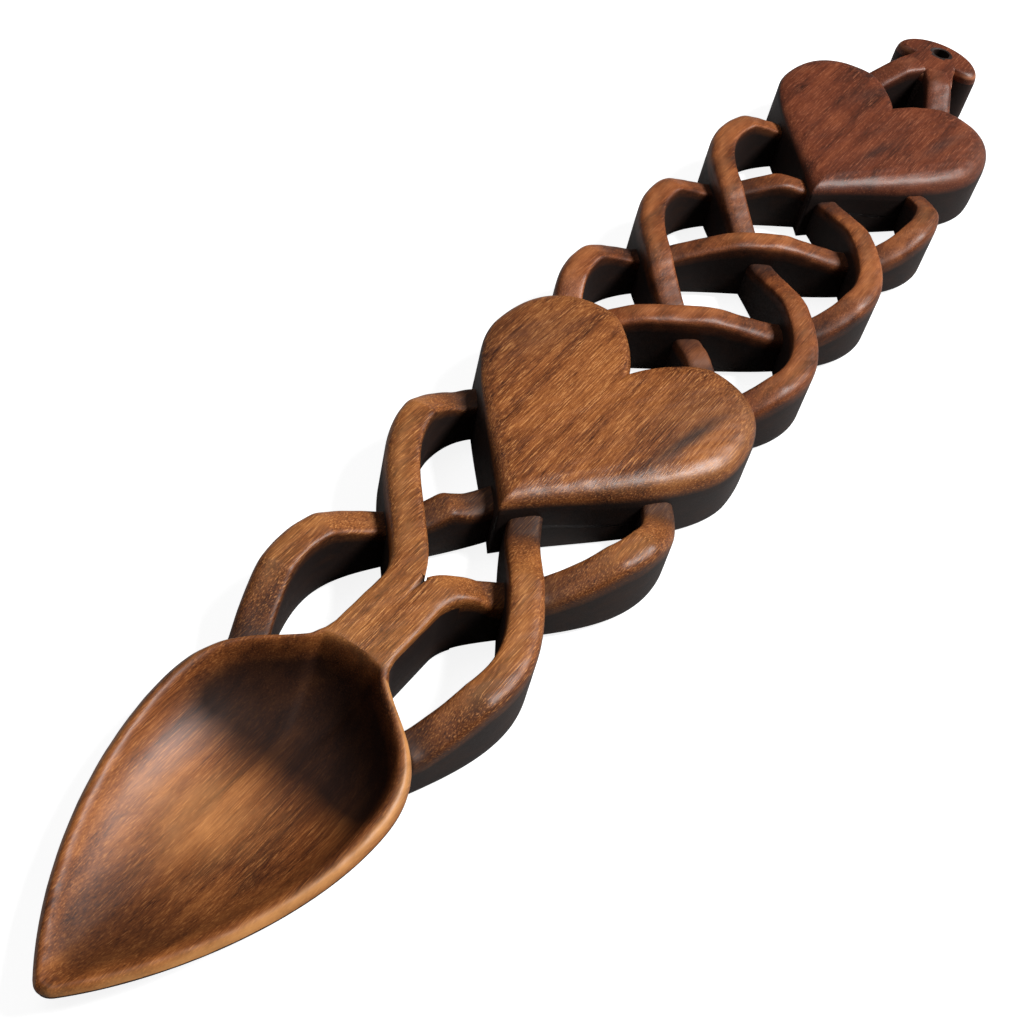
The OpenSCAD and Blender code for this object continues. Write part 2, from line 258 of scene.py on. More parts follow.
def stained_wood(name, dark, middle, light, hair, fine=1.0, bands=0.5, blotches=0.6, hairs=0.55,
                 gloss=0.45, shine=0.47, wax=0.0):
    """Stained wood from the tones of its colour: fine, bands, blotches and hairs weigh the sizes of its
    grain. Painted highlight and some wear lighten it towards the hair colour. Real stain and painted shade
    turn it nearly black and duller, and a coat of wax, where there is one, thins out there."""
    material = bpy.data.materials.new(name)
    material.use_nodes = True
    tree = material.node_tree
    shader = tree.nodes["Principled BSDF"]
    shader.inputs["Specular IOR Level"].default_value = shine
    shader.inputs["Specular Tint"].default_value = (1.0, 0.92, 0.88, 1)
    shader.inputs["Coat Roughness"].default_value = gloss
    grain = add(tree, "ShaderNodeGroup", node_tree=GRAIN)
    grain.inputs["Fine"].default_value = fine
    grain.inputs["Bands"].default_value = bands
    grain.inputs["Blotches"].default_value = blotches
    # Mask of real stain and painted shade.
    stain = add(tree, "ShaderNodeGroup", node_tree=STAIN_AND_SHADE)
    highlight_wear_mask = add(tree, "ShaderNodeGroup", node_tree=WEAR_AND_HIGHLIGHT)
    ramp = add(tree, "ShaderNodeValToRGB", {"Fac": grain.outputs["Tone"]})
    stops = ramp.color_ramp.elements
    stops[0].position, stops[0].color = 0.2, (*dark, 1)
    stops[1].position, stops[1].color = 0.8, (*light, 1)
    stops.new(0.5).color = (*middle, 1)
    pale = add(tree, "ShaderNodeMath", {0: grain.outputs["Hairs"], 1: hairs}, operation="MULTIPLY")
    fibred = blend(tree, pale.outputs[0], ramp.outputs[0], hair)
    # Painted highlight and some wear, lightened towards the hair colour.
    highlit_and_worn = blend(tree, highlight_wear_mask.outputs["Mask"], fibred, hair)
    # Real stain and painted shade, darkened to nearly black.
    deep = blend(tree, stain.outputs["Mask"], highlit_and_worn, nearly_black)
    tree.links.new(deep, shader.inputs["Base Color"])
    dull = add(tree, "ShaderNodeMath", {0: grain.outputs["Relief"], 1: 0.2, 2: gloss - 0.1},
               operation="MULTIPLY_ADD")
    duller = add(tree, "ShaderNodeMath", {0: stain.outputs["Mask"], 1: 0.22, 2: dull.outputs[0]},
                 operation="MULTIPLY_ADD")
    tree.links.new(duller.outputs[0], shader.inputs["Roughness"])
    if wax:
        coat = add(tree, "ShaderNodeMapRange",
                   {"Value": stain.outputs["Mask"], "To Min": wax, "To Max": 0.0})
        tree.links.new(coat.outputs[0], shader.inputs["Coat Weight"])
    bump = add(tree, "ShaderNodeBump",
               {"Height": grain.outputs["Relief"], "Strength": 0.5, "Distance": 0.08 * MM})
    tree.links.new(bump.outputs[0], shader.inputs["Normal"])
    return material


def bowl_outline(length, width, neck, start):
    """Half outline from the tip: a blunt nose, one long swell to the widest point, and a shoulder that
    turns in to the neck, each a cubic."""
    half = np.concatenate([
        cubic([[0, 0], [0, 0.9], [0.4, 1.4], [0.8, 1.8]], 30),
        cubic([[0.8, 1.8], [0.17 * length, 0.28 * width], [0.45 * length, 0.5 * width],
               [0.69 * length, 0.5 * width]], 90)[1:],
        cubic([[0.69 * length, 0.5 * width], [0.86 * length, 0.5 * width], [0.9 * length, 0.32 * width],
               [0.97 * length, neck / 2 + 1.2]], 80)[1:],
        [[length, neck / 2]],
    ])
    half[:, 0] += start
    return half


def rim(x):
    """Height of the rim: level at the tip, climbing to the neck with the power 2.5 of the way along."""
    return rim_h + (neck_h - rim_h) * np.clip((x - tip_x) / bowl_l, 0, 1) ** 2.5


def bulge(x):
    """Sideways swell of the bowl: minus the lean times the sine of half a turn by the square of the way
    along."""
    return -bowl_lean * np.sin(np.pi * np.clip((x - tip_x) / bowl_l, 0, 1) ** 2)


def share(x, y, half, centre):
    """How far a point lies from the centre towards the outline: 0 at the centre and 1 on the outline."""
    turn = np.arctan2(half[:, 1], half[:, 0] - centre)[::-1]
    reach = np.hypot(half[:, 1], half[:, 0] - centre)[::-1]
    return np.hypot(y, x - centre) / np.interp(np.arctan2(np.abs(y), x - centre), turn, reach)


hollow_x = tip_x + 0.7 * bowl_l
belly_x = tip_x + 0.62 * bowl_l
shell = bowl_outline(bowl_l, bowl_w, stem_w + 1.2, tip_x)
hollow = bowl_outline(bowl_l - lip_w - 1, bowl_w - 2 * lip_w, stem_w - 0.8, tip_x + lip_w)
hollow_fall = through([[0, 0], [0.08, 0], [0.3, 0.02], [0.5, 0.1], [0.68, 0.25], [0.83, 0.47],
                       [0.93, 0.72], [1, 1], [1.1, 1.42], [1.3, 2.2]], 240)
back_rise = through([[0, 0], [0.2, 0], [0.45, 0.04], [0.68, 0.17], [0.86, 0.42], [0.95, 0.64],
                     [0.985, 0.75], [1, 0.83]], 200)
inner_reach = 22.2
crotch_edge = 0.06
lip_round = 0.6
well_above = 99
fork_off = stem_w / 2 - knot_w / 2 + 0.15


def half_width(x):
    """Half the width of the bowl and, past the neck, of the stem, which spreads to both tines."""
    way = np.clip((x - neck_x) / (fork_x - neck_x), 0, 1)
    stem = stem_w / 2 - 0.35 + 0.95 * (1 - way) ** 5
    tine = cubic([[fork_x - 4, fork_off], [fork_x + 6, fork_off], [heart_x - 4, inner_reach],
                  [heart_x + 11, inner_reach]], 200)
    way_x, way_y = np.gradient(tine, axis=0).T
    tines = np.interp(x, tine[:, 0], tine[:, 1] + knot_w / 2 * np.hypot(way_x, way_y) / way_x)
    stem = np.maximum(stem, tines)
    return np.where(x < neck_x, np.interp(x, shell[:, 0], shell[:, 1]), stem)


def edge_loss(out, outward):
    """How far a rounded front falls at a share of its half width: one less the sine to the power 0.7 of the
    angle whose cosine is the share to a power. Outer edges (outward 1) fall deeper and start closer in than
    inner ones."""
    cosine = np.clip(out, 0, 1) ** (1 / (0.55 + 0.25 * outward))
    return crown_h * (1 + 0.5 * outward) * (1 - np.sqrt(1 - cosine**2) ** 0.7)


def front_height(x, y):
    """Front of the bowl and stem: the lip, rounded at its outer edge, and inside it the hollow, the two
    eased into each other. The stem is flat with rounded edges, and towards the fork each tine's inner edge
    appears."""
    offset = hollow_shift * (1 - ((x - hollow_x) / bowl_l) ** 2)
    inside = share(x, y - offset, hollow, hollow_x)
    scooped = floor_t + (rim(x) - floor_t) * np.interp(inside, hollow_fall[:, 0], hollow_fall[:, 1])
    scooped = np.where(inside < 1.3, scooped, well_above)
    edge = np.clip((half_width(x) - np.abs(y)) / 1.7, 0, 1)
    nose = np.clip((x - tip_x) / 1.6, 0, 1)
    lip = rim(x) - 1.2 * (1 - np.minimum(edge, nose)) ** 2.4
    beside = (np.abs(y) - half_width(x) + knot_w / 2) / (knot_w / 2)
    way = np.clip((x - neck_x) / (fork_x - neck_x), 0, 1)
    split = crotch_edge * np.clip((x - fork_x + 2) / 2, 0, 1) ** 2
    stem = neck_h + (strand_h - neck_h) * way
    crisp = np.clip(beside, 0, 1) ** (2.2 - 1.2 * way**2)
    outer_fall = (0.5 + 0.5 * way**2) * edge_loss(crisp, 0.1)
    stem = stem - np.where(beside > 0, outer_fall, split * edge_loss(-beside, -0.1))
    to_stem = np.clip((x - neck_x + 5) / 7, 0, 1)
    rim_front = lip + (stem - lip) * to_stem * to_stem * (3 - 2 * to_stem)
    least = np.minimum(scooped, rim_front)
    return least - lip_round * np.log1p(np.exp(-np.abs(scooped - rim_front) / lip_round))


def back_height(x, y):
    """Back of the bowl and stem: a convex bowl, with the flat back of the stem fading into it as a keel."""
    out = share(x, y, shell, belly_x)
    bowl_back = rim(x) * np.interp(out, back_rise[:, 0], back_rise[:, 1])
    bowl_back = np.minimum(bowl_back, rim(x) - 1.6)
    keel_w = stem_w / 2 + 0.6
    side = np.clip((np.abs(y) - keel_w + 1.2) / 2.4, 0, 1)
    far = np.clip((neck_x - 2 - x) / 14, 0, 1)
    keel = back_h + 11 * (side * side * (3 - 2 * side)) + 9 * far**2
    under = np.minimum(bowl_back, keel)
    return np.where(x < neck_x, under, back_h)


# Stations crowd together at the tip, and each section runs from the left edge over the front, down the
# right wall, home under the back and up the left wall
front_places = 100
swing = np.linspace(0, np.pi, front_places)
over = np.cos(swing) * (1 - 0.25 * np.sin(swing) ** 2)
under = over[::-1][1:-1]
nose_end = tip_x + 30
nose = tip_x + 0.02 + (bowl_l - 0.02) * (1 - np.cos(np.linspace(0, np.pi / 2, 170)))
stations = np.concatenate([nose[nose < nose_end], np.arange(nose_end, neck_x, 0.4),
                           np.linspace(neck_x, fork_x, 50)])
neck_ring = int(np.argmin(np.abs(stations - neck_x)))
x = stations[:, None]
width = half_width(x)
y_front, y_back = width * over, width * under
inside = share(x, y_front, hollow, hollow_x)
z_front = front_height(x, y_front) + np.where(inside < 1, 0.25, 1) * knife(x, y_front)
z_back = np.clip(back_height(x, y_back), 0.02, z_front[:, ::-1][:, 1:-1] - 0.3)
drop = np.array([0.03, 0.12, 0.35, 0.65, 0.9])
right_wall = z_front[:, -1:] + (z_back[:, :1] - z_front[:, -1:]) * drop
left_wall = z_front[:, :1] + (z_back[:, -1:] - z_front[:, :1]) * drop[::-1]
upright = np.ones(len(drop))
y_all = np.concatenate([y_front, -width * upright, y_back, width * upright], 1)
spoon = np.stack([
    np.broadcast_to(x, y_all.shape),
    bulge(x) + y_all,
    np.concatenate([z_front, right_wall, z_back, left_wall], 1),
], -1)
unseen = y_all[:, front_places:]
scooped = np.clip((1.03 - inside) * 9, 0, 1)
# Painted shade over the hollow: darker towards the neck, along the right side, in a patch on the left and at
# the tip. Towards the neck it is partly darker stain too.
to_neck = np.clip((x - neck_x + 25.5) / 10, 0, 1) * np.clip((20 - y_front) / 8, 0.25, 1)
to_neck = to_neck * to_neck * (3 - 2 * to_neck)
to_right = np.clip((-5 - y_front) / 10, 0, 1) * np.clip((x - tip_x - 12) / 20, 0, 1)
left_patch = np.exp(-((x - neck_x + 17) / 5) ** 2 - ((y_front - 14.5) / 2.2) ** 2)
to_tip = np.clip((tip_x + 31 - x) / 17, 0, 1) * np.clip((11 - y_front) / 9, 0.25, 1)
painted_shade = 0.75 * to_neck + 0.17 * to_neck**3 + 0.36 * to_right + 0.35 * left_patch + 0.62 * to_tip
painted_shade = np.clip(painted_shade, 0, 0.95)
at_neck = np.clip((x - neck_x + 3) / 2.4, 0, 1) ** 2
# The walls and back painted dark as shade, partly darker stain.
stain_and_shade = np.concatenate([painted_shade * scooped * (1 - at_neck), np.full_like(unseen, 0.85)], 1)
# Painted highlight along the lip, brighter on the right, -Y side.
lip_highlight = np.exp(-((inside - 1.08) / 0.05) ** 2) * (x < neck_x - 2) * np.where(y_front < 0, 0.9, 0.3)
# Painted sheen: a paler band across the middle of the hollow.
painted_sheen = 0.55 * np.exp(-((x - neck_x + 30) / 11) ** 2 - ((y_front - 3) / 11) ** 2)
# Painted light: the front lighter over the last few millimetres before the neck, as on the stem.
front_highlight = np.maximum(np.maximum(lip_highlight, painted_sheen), 0.42 * at_neck)
wear_and_highlight = np.concatenate([front_highlight, np.zeros_like(unseen)], 1)

brown = dict(dark=(0.06, 0.014, 0.003), middle=(0.235, 0.067, 0.014), light=(0.44, 0.15, 0.036),
             hair=(0.72, 0.33, 0.11))
bowl_wood = stained_wood("bowl_wood", **brown, fine=0.9, bands=0.9, hairs=0.25, shine=0.12, wax=0.6)
bowl = skin("bowl_skin", spoon[:neck_ring + 1], stain_and_shade[:neck_ring + 1], wear_and_highlight[:neck_ring + 1])
dress(bowl, "bowl", bowl_wood)


# The stem
# A short flat stem, cut from the blank with the bowl and left at its full height. It spreads at its
# upper end into the two tines of the fork, with the start of the fork's groove between them.
stem_wood = stained_wood("stem_wood", **brown, fine=1.6, bands=0.4, blotches=0.5, hairs=0.8)
stem_grid = spoon[neck_ring:].copy()
stem_x, stem_y = stem_grid[:, :front_places, 0], stem_grid[:, :front_places, 1]
groove = np.exp(-(fork_x - stem_x) / 1.6) * np.exp(-(stem_y / 0.32) ** 2)
stem_grid[:, :front_places, 2] -= 1.1 * groove
# Painted light: the stem's front lighter by the neck and less so towards the fork.
stem_painted_light = 0.42 - 0.14 * (stem_x - neck_x) / (fork_x - neck_x)
stem_unseen = unseen[neck_ring:]
# Painted shade in the fork's groove; the walls and back painted nearly black as shade, partly darker stain.
stem_stain_and_shade = np.concatenate([np.clip(2 * groove, 0, 0.97), np.full_like(stem_unseen, 0.98)], 1)
stem_highlight = np.concatenate([stem_painted_light, np.zeros_like(stem_unseen)], 1)
stem = skin("stem_skin", stem_grid, stem_stain_and_shade, stem_highlight)
dress(stem, "stem", stem_wood)


# The lower knot
# Four strands, pierced with a fretsaw and rounded with a knife: the two tines of the fork and two that
# start under the shoulders of the bowl. Each dips with flat knife cuts where it passes under another.
outer_reach = 19.0
strand_dip = 4.4
dip_run = 12.5
dip_floor = 0.2
sunk_start = 3.5
front_count = 41


def front(x, lows, ease):
    """Height of a strand's front: its full height less the deepest of its dips. Each dip is a level stretch
    with a straight knife cut on both sides, its corners eased by averaging over a short way."""
    fine = x[:, None] + np.linspace(-ease, ease, 9)
    away = np.abs(fine[..., None] - np.asarray(lows)) / dip_run
    cut = np.clip((1 - away) / (1 - dip_floor), 0, 1)
    return strand_h - strand_dip * cut.max(-1).mean(-1)


def strand_grid(path, lows, width, ease=0.6, forked=False):
    """A strand along its path: at each point a section with a flat back, upright sides and a front whose
    edges are rounded, the outer one more than the inner one. What starts under the bowl's shoulder is sunk
    there. A forked strand starts square to the blank, at full height and with its inner edge still crisp,
    and turns to its own way within a few millimetres."""
    way = np.gradient(path, axis=0)
    way /= np.linalg.norm(way, axis=1)[:, None]
    own, true_way = np.ones((len(path), 1)), way
    top = front(path[:, 0], lows, ease)[:, None]
    top = top - sunk_start * np.clip((neck_x - 7 - path[:, :1]) / 2.5, 0, 1)
    if forked:
        run = np.clip((path[:, :1] - fork_x) / 9, 0, 1)
        own = run * run * (3 - 2 * run)
        top = strand_h - (strand_h - top) * np.clip((path[:, :1] - fork_x) / 6, 0, 1)
        way = way * own + np.array([1, 0]) * (1 - own)
        way /= np.linalg.norm(way, axis=1)[:, None]
    side = np.stack([way[:, 1], -way[:, 0]], 1)
    across = -np.cos(np.linspace(0, np.pi, front_count)) * np.ones_like(top)
    outward = -np.sign(across) * np.clip(path[:, 1:] / inner_reach, -1, 1)
    keen = np.where(outward < 0, crotch_edge + (1 - crotch_edge) * own, 1)
    crown = top - edge_loss(np.abs(across), outward) * keen
    wall = np.linspace(1, 0, 8)[1:]
    foot = back_h + 0.3
    right = foot + (crown[:, -1:] - foot) * wall
    left = foot + (crown[:, :1] - foot) * wall[::-1]
    h = width / 2 / (way * true_way).sum(1)[:, None]
    q = h * np.concatenate([
        across, np.ones_like(right), np.array([0.9, 0, -0.9]) * np.ones_like(top), -np.ones_like(left)
    ], 1)
    z = np.concatenate([crown, right, np.full((len(path), 3), back_h), left], 1)
    xy = path[:, None] + side[:, None] * q[..., None]
    grid = np.concatenate([xy, z[:, :, None]], -1)
    grid[:, :41, 2] += knife(grid[:, :front_count, 0], grid[:, :front_count, 1])
    grid[..., 2] = np.minimum(grid[..., 2], strand_h + 0.1)
    sunk = (strand_h - top) / strand_dip
    # Painted shade: darker in the dips where a strand passes under another, and along its rounded edges.
    edges = 0.6 * np.clip((np.abs(across) - 0.86) / 0.14, 0, 1) ** 2 * own
    # Painted highlight along the crest, less where the strand dips.
    crest_highlight = np.clip(0.28 + 0.3 * own * (0.6 - np.abs(across + 0.2)), 0, 1) * (1 - sunk)
    hidden = q[:, front_count:]
    # The walls and back painted nearly black as shade, partly darker stain.
    stain_and_shade = np.concatenate([np.maximum(0.75 * sunk**3, edges), np.full_like(hidden, 0.98)], 1)
    wear_and_highlight = np.concatenate([crest_highlight, np.zeros_like(hidden)], 1)
    return grid, stain_and_shade, wear_and_highlight


def strand(name, path, lows, material, count, width, slot="stained_wood", **shape):
    """Makes a strand's skin and puts it in place of its solid."""
    grid, stain_and_shade, wear_and_highlight = strand_grid(evenly(path, count), lows, width, **shape)
    dress(skin(name + "_skin", grid, stain_and_shade, wear_and_highlight), name, material)


def inner_path(side):
    """A tine: a cubic that swings out from the fork, and one that turns in under the heart."""
    run = np.concatenate([
        cubic([[fork_x - 4, fork_off], [fork_x + 6, fork_off], [heart_x - 4, inner_reach],
               [heart_x + 11, inner_reach]], 120),
        cubic([[heart_x + 11, inner_reach], [heart_x + 17, inner_reach], [heart_x + 23, 20],
               [heart_x + 27, 12]], 60)[1:],
    ])
    start = [[fork_x, np.interp(fork_x, run[:, 0], run[:, 1])]]
    return np.concatenate([start, run[run[:, 0] > fork_x + 0.02]]) * [1, side]


def outer_path(side):
    """A strand from under the bowl's shoulder, out along the tine and across to the point of the heart."""
    run = np.concatenate([
        cubic([[neck_x - 9.5, 13], [neck_x - 2, 16.5], [neck_x + 4, outer_reach],
               [neck_x + 10, outer_reach]], 60),
        cubic([[neck_x + 10, outer_reach], [fork_x + 4, outer_reach], [heart_x - 9, 9],
               [heart_x + 8, 1.5]], 120)[1:],
    ])
    return run * [1, side]


outer_on_inner = np.interp(inner_path(1)[:, 0], *outer_path(1).T)
cross_x = inner_path(1)[np.argmax(inner_path(1)[:, 1] > outer_on_inner), 0]
knot_wood = stained_wood("knot_wood", **brown, fine=1.3, bands=0.5, blotches=0.8, hairs=0.6)
strand("left_inner_strand", inner_path(1), [heart_x + 22], knot_wood, 200, knot_w, forked=True)
strand("right_inner_strand", inner_path(-1), [cross_x, heart_x + 22], knot_wood, 200, knot_w,
       forked=True)
strand("left_outer_strand", outer_path(1), [neck_x - 8, cross_x, heart_x + 3], knot_wood, 200, knot_w)
strand("right_outer_strand", outer_path(-1), [neck_x - 8, heart_x + 3], knot_wood, 200, knot_w)


# The lower heart
# A solid heart, left at the full thickness of the blank and rounded along its front edge with a file.
# Its face is the largest flat one on the spoon, and shows a darker streak of growth on the right.
blank_t = 13.5


def heart_half(length, width, notch):
    """Half outline from point to notch: a nearly straight flank, a round shoulder and the side of a lobe
    that runs down to the notch, each a cubic."""
    wide, lobe, cleft = [0.68 * length, width / 2], [length, 0.23 * width], [length - notch, 0]
    return np.concatenate([
        cubic([[0, 0], [0.24 * length, 0.2 * width], [wide[0] - 0.21 * length, wide[1]], wide], 80),
        cubic([wide, [0.88 * length, wide[1]], [length, 0.42 * width], lobe], 60)[1:],
        cubic([lobe, [length, 0.17 * width], [cleft[0] + 0.45 * notch, 0.045 * width], cleft], 50)[1:],
    ])


def heart_skin(node, notch, marks):
    """A heart as wide and long as its solid: its outline drawn in towards its middle, ring by ring of
    (scale, height), from the back up the flank and over the rounded edge to the middle of the front. The
    edge falls deeper on the right, at -Y. marks are dark soft spots, streaks of growth and painted shade,
    each (x, y, length, width, depth)."""
    low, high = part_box(node)
    start, length, width = low.x / MM, (high.x - low.x) / MM, (high.y - low.y) / MM
    half = heart_half(length, width, notch)
    closed = np.concatenate([half * [1, -1], half[::-1][1:-1]])
    outline = evenly(np.concatenate([closed, closed[:1]]), 321)[:-1]
    middle = np.array([0.53 * length, 0])
    stops = [[0.02, 0], [0.5, 0], [0.93, 0], [0.97, 0.05], [0.993, 0.5], [1, 1.4], [1, 5],
             [1, blank_t - 4.2], [0.998, blank_t - 3.3], [0.989, blank_t - 2.35], [0.965, blank_t - 1.5],
             [0.928, blank_t - 0.86], [0.87, blank_t - 0.4], [0.79, blank_t - 0.16],
             [0.68, blank_t - 0.04], [0.4, blank_t], [0.02, blank_t]]
    profile = through(stops, 120)
    xy = middle + (outline - middle) * profile[:, None, :1]
    lean = 1 - 0.5 * (outline[:, 1] - middle[1]) / np.linalg.norm(outline - middle, axis=1)
    z = np.clip(profile[:, 1:], 0, blank_t)
    z = np.where(z > 6, blank_t - (blank_t - z) * lean, z * np.ones_like(lean))
    grid = np.concatenate([xy + [start, 0], z[..., None]], -1)
    face = np.clip((profile[:, 1] - blank_t + 1.8) / 1.4, 0, 1)[:, None]
    grid[..., 2] -= face * (0.06 - np.minimum(knife(grid[..., 0], grid[..., 1]), 0.06))
    height = profile[:, 1:]
    # Darker towards the outer edge of the face.
    stain_and_shade = 0.25 * np.clip((profile[:, :1] - 0.8) / 0.19, 0, 1) ** 2 * np.ones(len(outline))
    # Dark soft spots: streaks of growth, and on the lower heart also painted shade.
    for mark_x, mark_y, reach, spread, depth in marks:
        off_x, off_y = grid[..., 0] - mark_x, grid[..., 1] - mark_y
        stain_and_shade += depth * np.exp(-(off_x / reach) ** 2 - ((off_y + 0.2 * off_x) / spread) ** 2)
    # Below the rounded edge the flank is painted nearly black as shade, partly darker stain.
    stain_and_shade = np.maximum(stain_and_shade, 0.98 * np.clip((blank_t - 1.7 - height) / 1.1, 0, 1))
    # Painted sheen on the rounded edge on the right, -Y side.
    wear_and_highlight = 0.45 * np.exp(-((blank_t - height - 0.9) / 0.7) ** 2) * np.clip(2 * lean - 2, 0, 1)
    return skin(node + "_skin", grid, stain_and_shade, wear_and_highlight)


heart_wood = stained_wood("heart_wood", **brown, fine=1.4, bands=0.6, blotches=0.7, hairs=0.65,
                          gloss=0.4, shine=0.6)
# A streak of growth on the right, and painted shade over the right and left of the face.
lower_streaks_and_shade = [(-19, -16.2, 10, 1.3, 0.8), (-12, -14, 14, 6, 0.3), (-14, 18, 13, 6, 0.34)]
dress(heart_skin("lower_heart", 13, lower_streaks_and_shade), "lower_heart", heart_wood)


# The plait
# Four strands that weave over and under from one heart to the next. Each swings from side to side as a
# cosine, and is cut down with the knife at every other crossing so that its neighbour seems to pass over.
top_heart_x, top_lobes_x = (corner.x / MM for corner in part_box("upper_heart"))
strand_w = 5.4
plait_w = 46.0
plait_lead = 9.0
plait_tail = 6.5
pitch = (top_heart_x - lobes_x - plait_lead + plait_tail) / 2
russet = dict(dark=(0.05, 0.011, 0.003), middle=(0.19, 0.047, 0.011), light=(0.38, 0.115, 0.032),
              hair=(0.62, 0.25, 0.09))
plait_wood = stained_wood("plait_wood", **russet, fine=0.8, bands=0.9, blotches=1.3, hairs=0.25)


def at(turns):
    """Station on the plait, counted in pitches from the first turn."""
    return lobes_x + plait_lead + turns * pitch


def weave(turn, side, start, end):
    """Path of a strand with a turn at one station: the side times half the plait's width times the cosine
    of a quarter turn to each pitch."""
    x = np.linspace(at(start), at(end), 400)
    return np.stack([x, side * plait_w / 2 * np.cos(np.pi / 2 * (x - at(turn)) / pitch)], 1)


for name, turn, side, start, end, lows in (
    ("plait_strand_1", 0, 1, -0.6, 2.6, (-0.6, 0.5, 1.5, 2.6)),
    ("plait_strand_2", 0, -1, -0.6, 2.6, (-0.6, 1, 2.6)),
    ("plait_strand_3", 1, 1, -0.5, 2, (-0.3, 0, 1.5, 2.1)),
    ("plait_strand_4", 1, -1, -0.5, 2, (-0.6, 0.5, 2)),
):
    strand(name, weave(turn, side, start, end), [at(low) for low in lows], plait_wood, 360, strand_w,
           ease=1.5)


# The upper heart
# The twin of the lower heart, a little narrower, from wood that took the stain redder. Its tones are
# also darker, as painted shade for less light at the far end of the spoon.
red = dict(dark=(0.035, 0.008, 0.003), middle=(0.135, 0.028, 0.009), light=(0.25, 0.064, 0.022),
           hair=(0.42, 0.15, 0.07))
red_wood = stained_wood("red_heart_wood", **red, fine=0.9, bands=0.7, blotches=0.8)
upper_marks = [(92, -4.5, 7, 1.1, 0.5), (108, -15, 9, 1.5, 0.45), (112, 7, 8, 1.4, 0.35),
               (101, -2, 5, 0.8, 0.3)]
dress(heart_skin("upper_heart", 11, upper_marks), "upper_heart", red_wood)


# The finial
# Two short legs rise from the lobes of the upper heart and lean together into the waist of a round head,
# which is pierced by the hole that the spoon hangs by.
collar_x, end_x = (corner.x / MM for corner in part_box("finial_head"))
head_l = end_x - collar_x
leg_w = 6.2
waist_w = 11.4
head_w = 21.0
head_h = 12.8
hole_r = 2.0
hole_inset = 5.0
finial_shift = 1.2
# Tones of the upper heart: redder stain, and darker as painted shade at the far end.
finial_wood = stained_wood("finial_wood", **red, fine=0.9, bands=0.5, blotches=0.7)
for name, side in (("finial_left_leg", 1), ("finial_right_leg", -1)):
    leg_path = cubic([[top_lobes_x - 9, 12.5], [top_lobes_x - 2, 10.6], [collar_x - 4, 6.6],
                      [collar_x + 3, 2.4]], 120)
    strand(name, leg_path * [1, side] + [0, finial_shift], [top_lobes_x - 4], finial_wood, 60, leg_w,
           slot="red_stained_wood")


def head_outline():
    """Half outline of the head from its foot: in to the waist, out under an overhanging lobe, and a round
    top."""
    foot, lobe_x, wide_x = leg_w + 1.8, 0.45 * head_l, 0.6 * head_l
    return np.concatenate([
        [[0, 0]],
        cubic([[0, foot], [3, foot - 0.8], [lobe_x - 2, waist_w / 2 + 0.3], [lobe_x, waist_w / 2]], 40),
        cubic([[lobe_x, waist_w / 2], [lobe_x - 0.5, 0.36 * head_w], [lobe_x, head_w / 2],
               [wide_x, head_w / 2]], 40)[1:],
        cubic([[wide_x, head_w / 2], [0.76 * head_l, head_w / 2], [head_l, 0.33 * head_w],
               [head_l, 0]], 60)[1:],
    ])


def head_skin():
    """The head as a ring round its hole: from the wall of the hole over the front, down the outer wall and
    home under the back."""
    half = head_outline()
    closed = np.concatenate([half * [1, -1], half[::-1][1:-1]])
    outline = evenly(np.concatenate([closed, closed[:1]]), 241)[:-1] + [collar_x, finial_shift]
    middle = np.array([end_x - hole_inset, finial_shift])
    ray = outline - middle
    reach = np.linalg.norm(ray, axis=1)[:, None]
    ray = ray / reach
    # Rings: (share of the way from the hole's wall to the outline, height)
    stops = [[0, 0], [0, 4], [0, 8], [0, head_h - 0.7], [0.03, head_h - 0.2], [0.15, head_h - 0.02],
             [0.5, head_h], [0.75, head_h - 0.1], [0.88, head_h - 0.5], [0.96, head_h - 1.3],
             [0.995, head_h - 2.6], [1, head_h - 4], [1, 5], [1, 1.4], [0.985, 0.4], [0.94, 0],
             [0.5, 0], [0, 0]]
    profile = through(stops, 110)
    profile[:, 0] = np.clip(profile[:, 0], 0, 1)
    profile[:, 1] = np.clip(profile[:, 1], 0, head_h)
    xy = middle + ray * (hole_r + (reach - hole_r) * profile[:, None, :1])
    z = np.broadcast_to(profile[:, 1:], xy.shape[:2])
    grid = np.concatenate([xy, z[..., None]], -1)
    height = profile[:, 1:]
    # The outer wall painted nearly black as shade, partly darker stain, and the wall of the hole painted as
    # shade.
    stain_and_shade = np.where(height < head_h - 2.4, 0.92, 0) * np.ones(len(outline))
    stain_and_shade = np.where(profile[:, :1] < 0.1, 0.95, stain_and_shade)
    # A paler band along the rounded top edge.
    wear_and_highlight = np.exp(-((height - head_h + 1.0) / 0.5) ** 2) * (profile[:, :1] > 0.5) * np.ones(len(outline))
    return grid, stain_and_shade, wear_and_highlight


grid, stain_and_shade, wear_and_highlight = head_skin()
head = skin("finial_head_skin", grid, stain_and_shade, wear_and_highlight)
dress(head, "finial_head", finial_wood)


# The bench and the light
# A plain pale floor under the spoon, a soft key lamp beyond the finial on the right, a faint fill on the
# left, and the camera looking down along the spoon from past the tip of the bowl.
bpy.ops.mesh.primitive_plane_add(size=6, location=(0, 0, 0))
floor = bpy.context.object
floor.name = "floor"
floor_paint = bpy.data.materials.new("floor_paint")
floor_paint.use_nodes = True
tree = floor_paint.node_tree
paint = tree.nodes["Principled BSDF"]
ray = add(tree, "ShaderNodeLightPath")
glossy = add(tree, "ShaderNodeMath", {0: ray.outputs["Is Glossy Ray"], 1: 0.8}, operation="MULTIPLY")
seen = add(tree, "ShaderNodeMath", {0: ray.outputs["Is Camera Ray"], 1: glossy.outputs[0]},
           operation="MAXIMUM")
seen = add(tree, "ShaderNodeMath", {0: seen.outputs[0], 1: ray.outputs["Is Transmission Ray"]},
           operation="MAXIMUM")
tone = add(tree, "ShaderNodeMapRange", {"Value": seen.outputs[0], "To Min": 0.1, "To Max": 0.5})
paint.inputs["Roughness"].default_value = 0.9
paint.inputs["Specular IOR Level"].default_value = 0.1
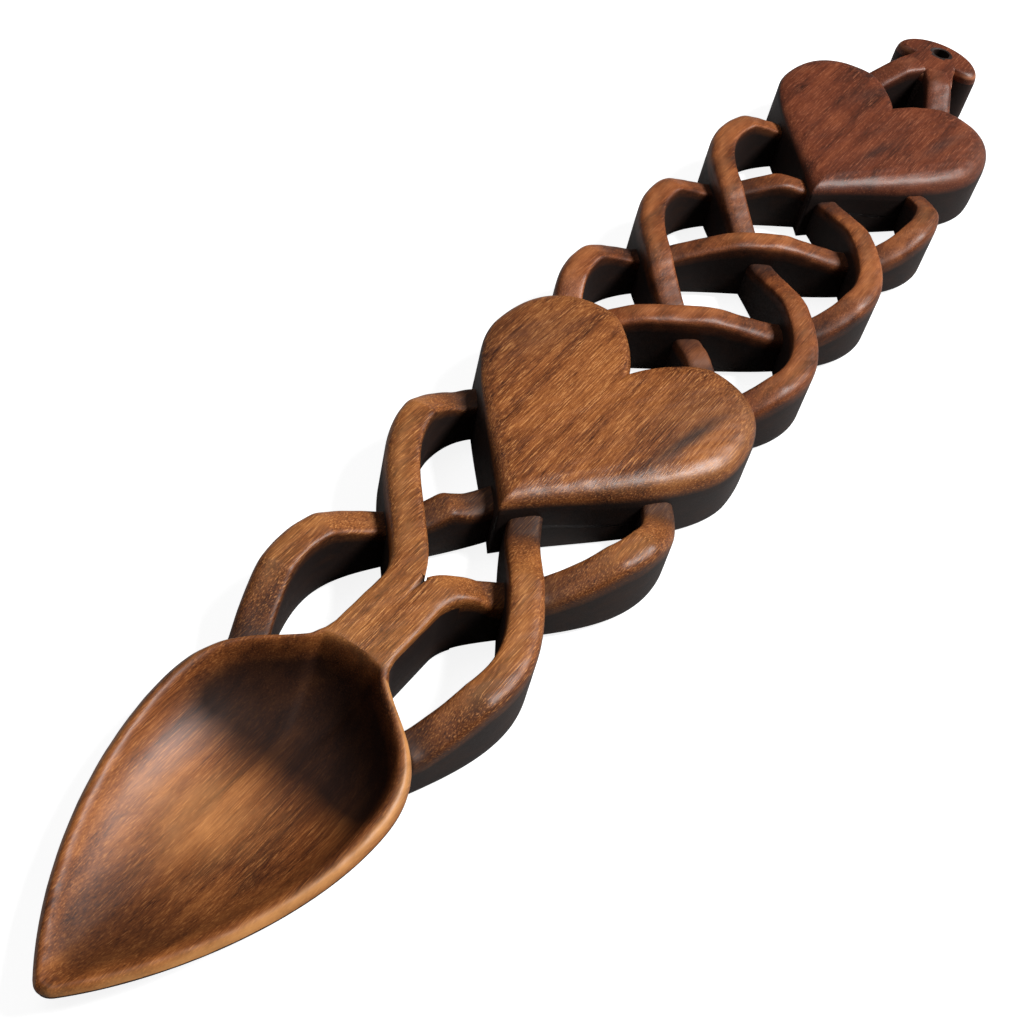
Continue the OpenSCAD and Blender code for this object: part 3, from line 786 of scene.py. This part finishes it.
shade = add(tree, "ShaderNodeCombineColor", {0: tone.outputs[0], 1: tone.outputs[0], 2: tone.outputs[0]})
tree.links.new(shade.outputs[0], paint.inputs["Base Color"])
glow = add(tree, "ShaderNodeMath", {0: ray.outputs["Is Camera Ray"], 1: 0.88}, operation="MULTIPLY")
paint.inputs["Emission Color"].default_value = (1, 1, 1, 1)
tree.links.new(glow.outputs[0], paint.inputs["Emission Strength"])
floor.data.materials.append(floor_paint)

world = bpy.data.worlds.new("studio")
bpy.context.scene.world = world
world.use_nodes = True
tree = world.node_tree
ray = add(tree, "ShaderNodeLightPath")
seen = add(tree, "ShaderNodeMath", {0: ray.outputs["Is Camera Ray"], 1: ray.outputs["Is Transmission Ray"]},
           operation="MAXIMUM")
level = add(tree, "ShaderNodeMapRange", {"Value": seen.outputs[0], "To Min": 0.06, "To Max": 1.0})
tree.links.new(level.outputs[0], tree.nodes["Background"].inputs["Strength"])
tree.nodes["Background"].inputs["Color"].default_value = (1, 1, 1, 1)


def softbox(name, place, size, watts, tint=(1, 1, 1)):
    """Square lamp that faces the middle of the spoon."""
    lamp = bpy.data.lights.new(name, "AREA")
    lamp.size = size
    lamp.energy = watts
    lamp.color = tint
    holder = bpy.data.objects.new(name, lamp)
    holder.location = place
    holder.rotation_euler = (-Vector(place)).to_track_quat("-Z", "Y").to_euler()
    bpy.context.scene.collection.objects.link(holder)


softbox("key", (0.62, -0.75, 1.25), 0.5, 31.0)
softbox("top_fill", (-0.1, 0.35, 0.9), 0.5, 1.2)

lens = bpy.data.cameras.new("camera")
lens.sensor_width = 36
lens.lens = 53.73
camera = bpy.data.objects.new("camera", lens)
eye = Vector((-208.32, -64.64, 185.99)) * MM
aim = Vector((-50.67, -1.46, 10.0)) * MM
roll = math.radians(15.3)
turn = (aim - eye).to_track_quat("-Z", "Y").to_matrix() @ Matrix.Rotation(roll, 3, "Z")
camera.matrix_world = Matrix.Translation(eye) @ turn.to_4x4()
bpy.context.scene.collection.objects.link(camera)
bpy.context.scene.camera = camera
bpy.context.scene.view_settings.view_transform = "Standard"
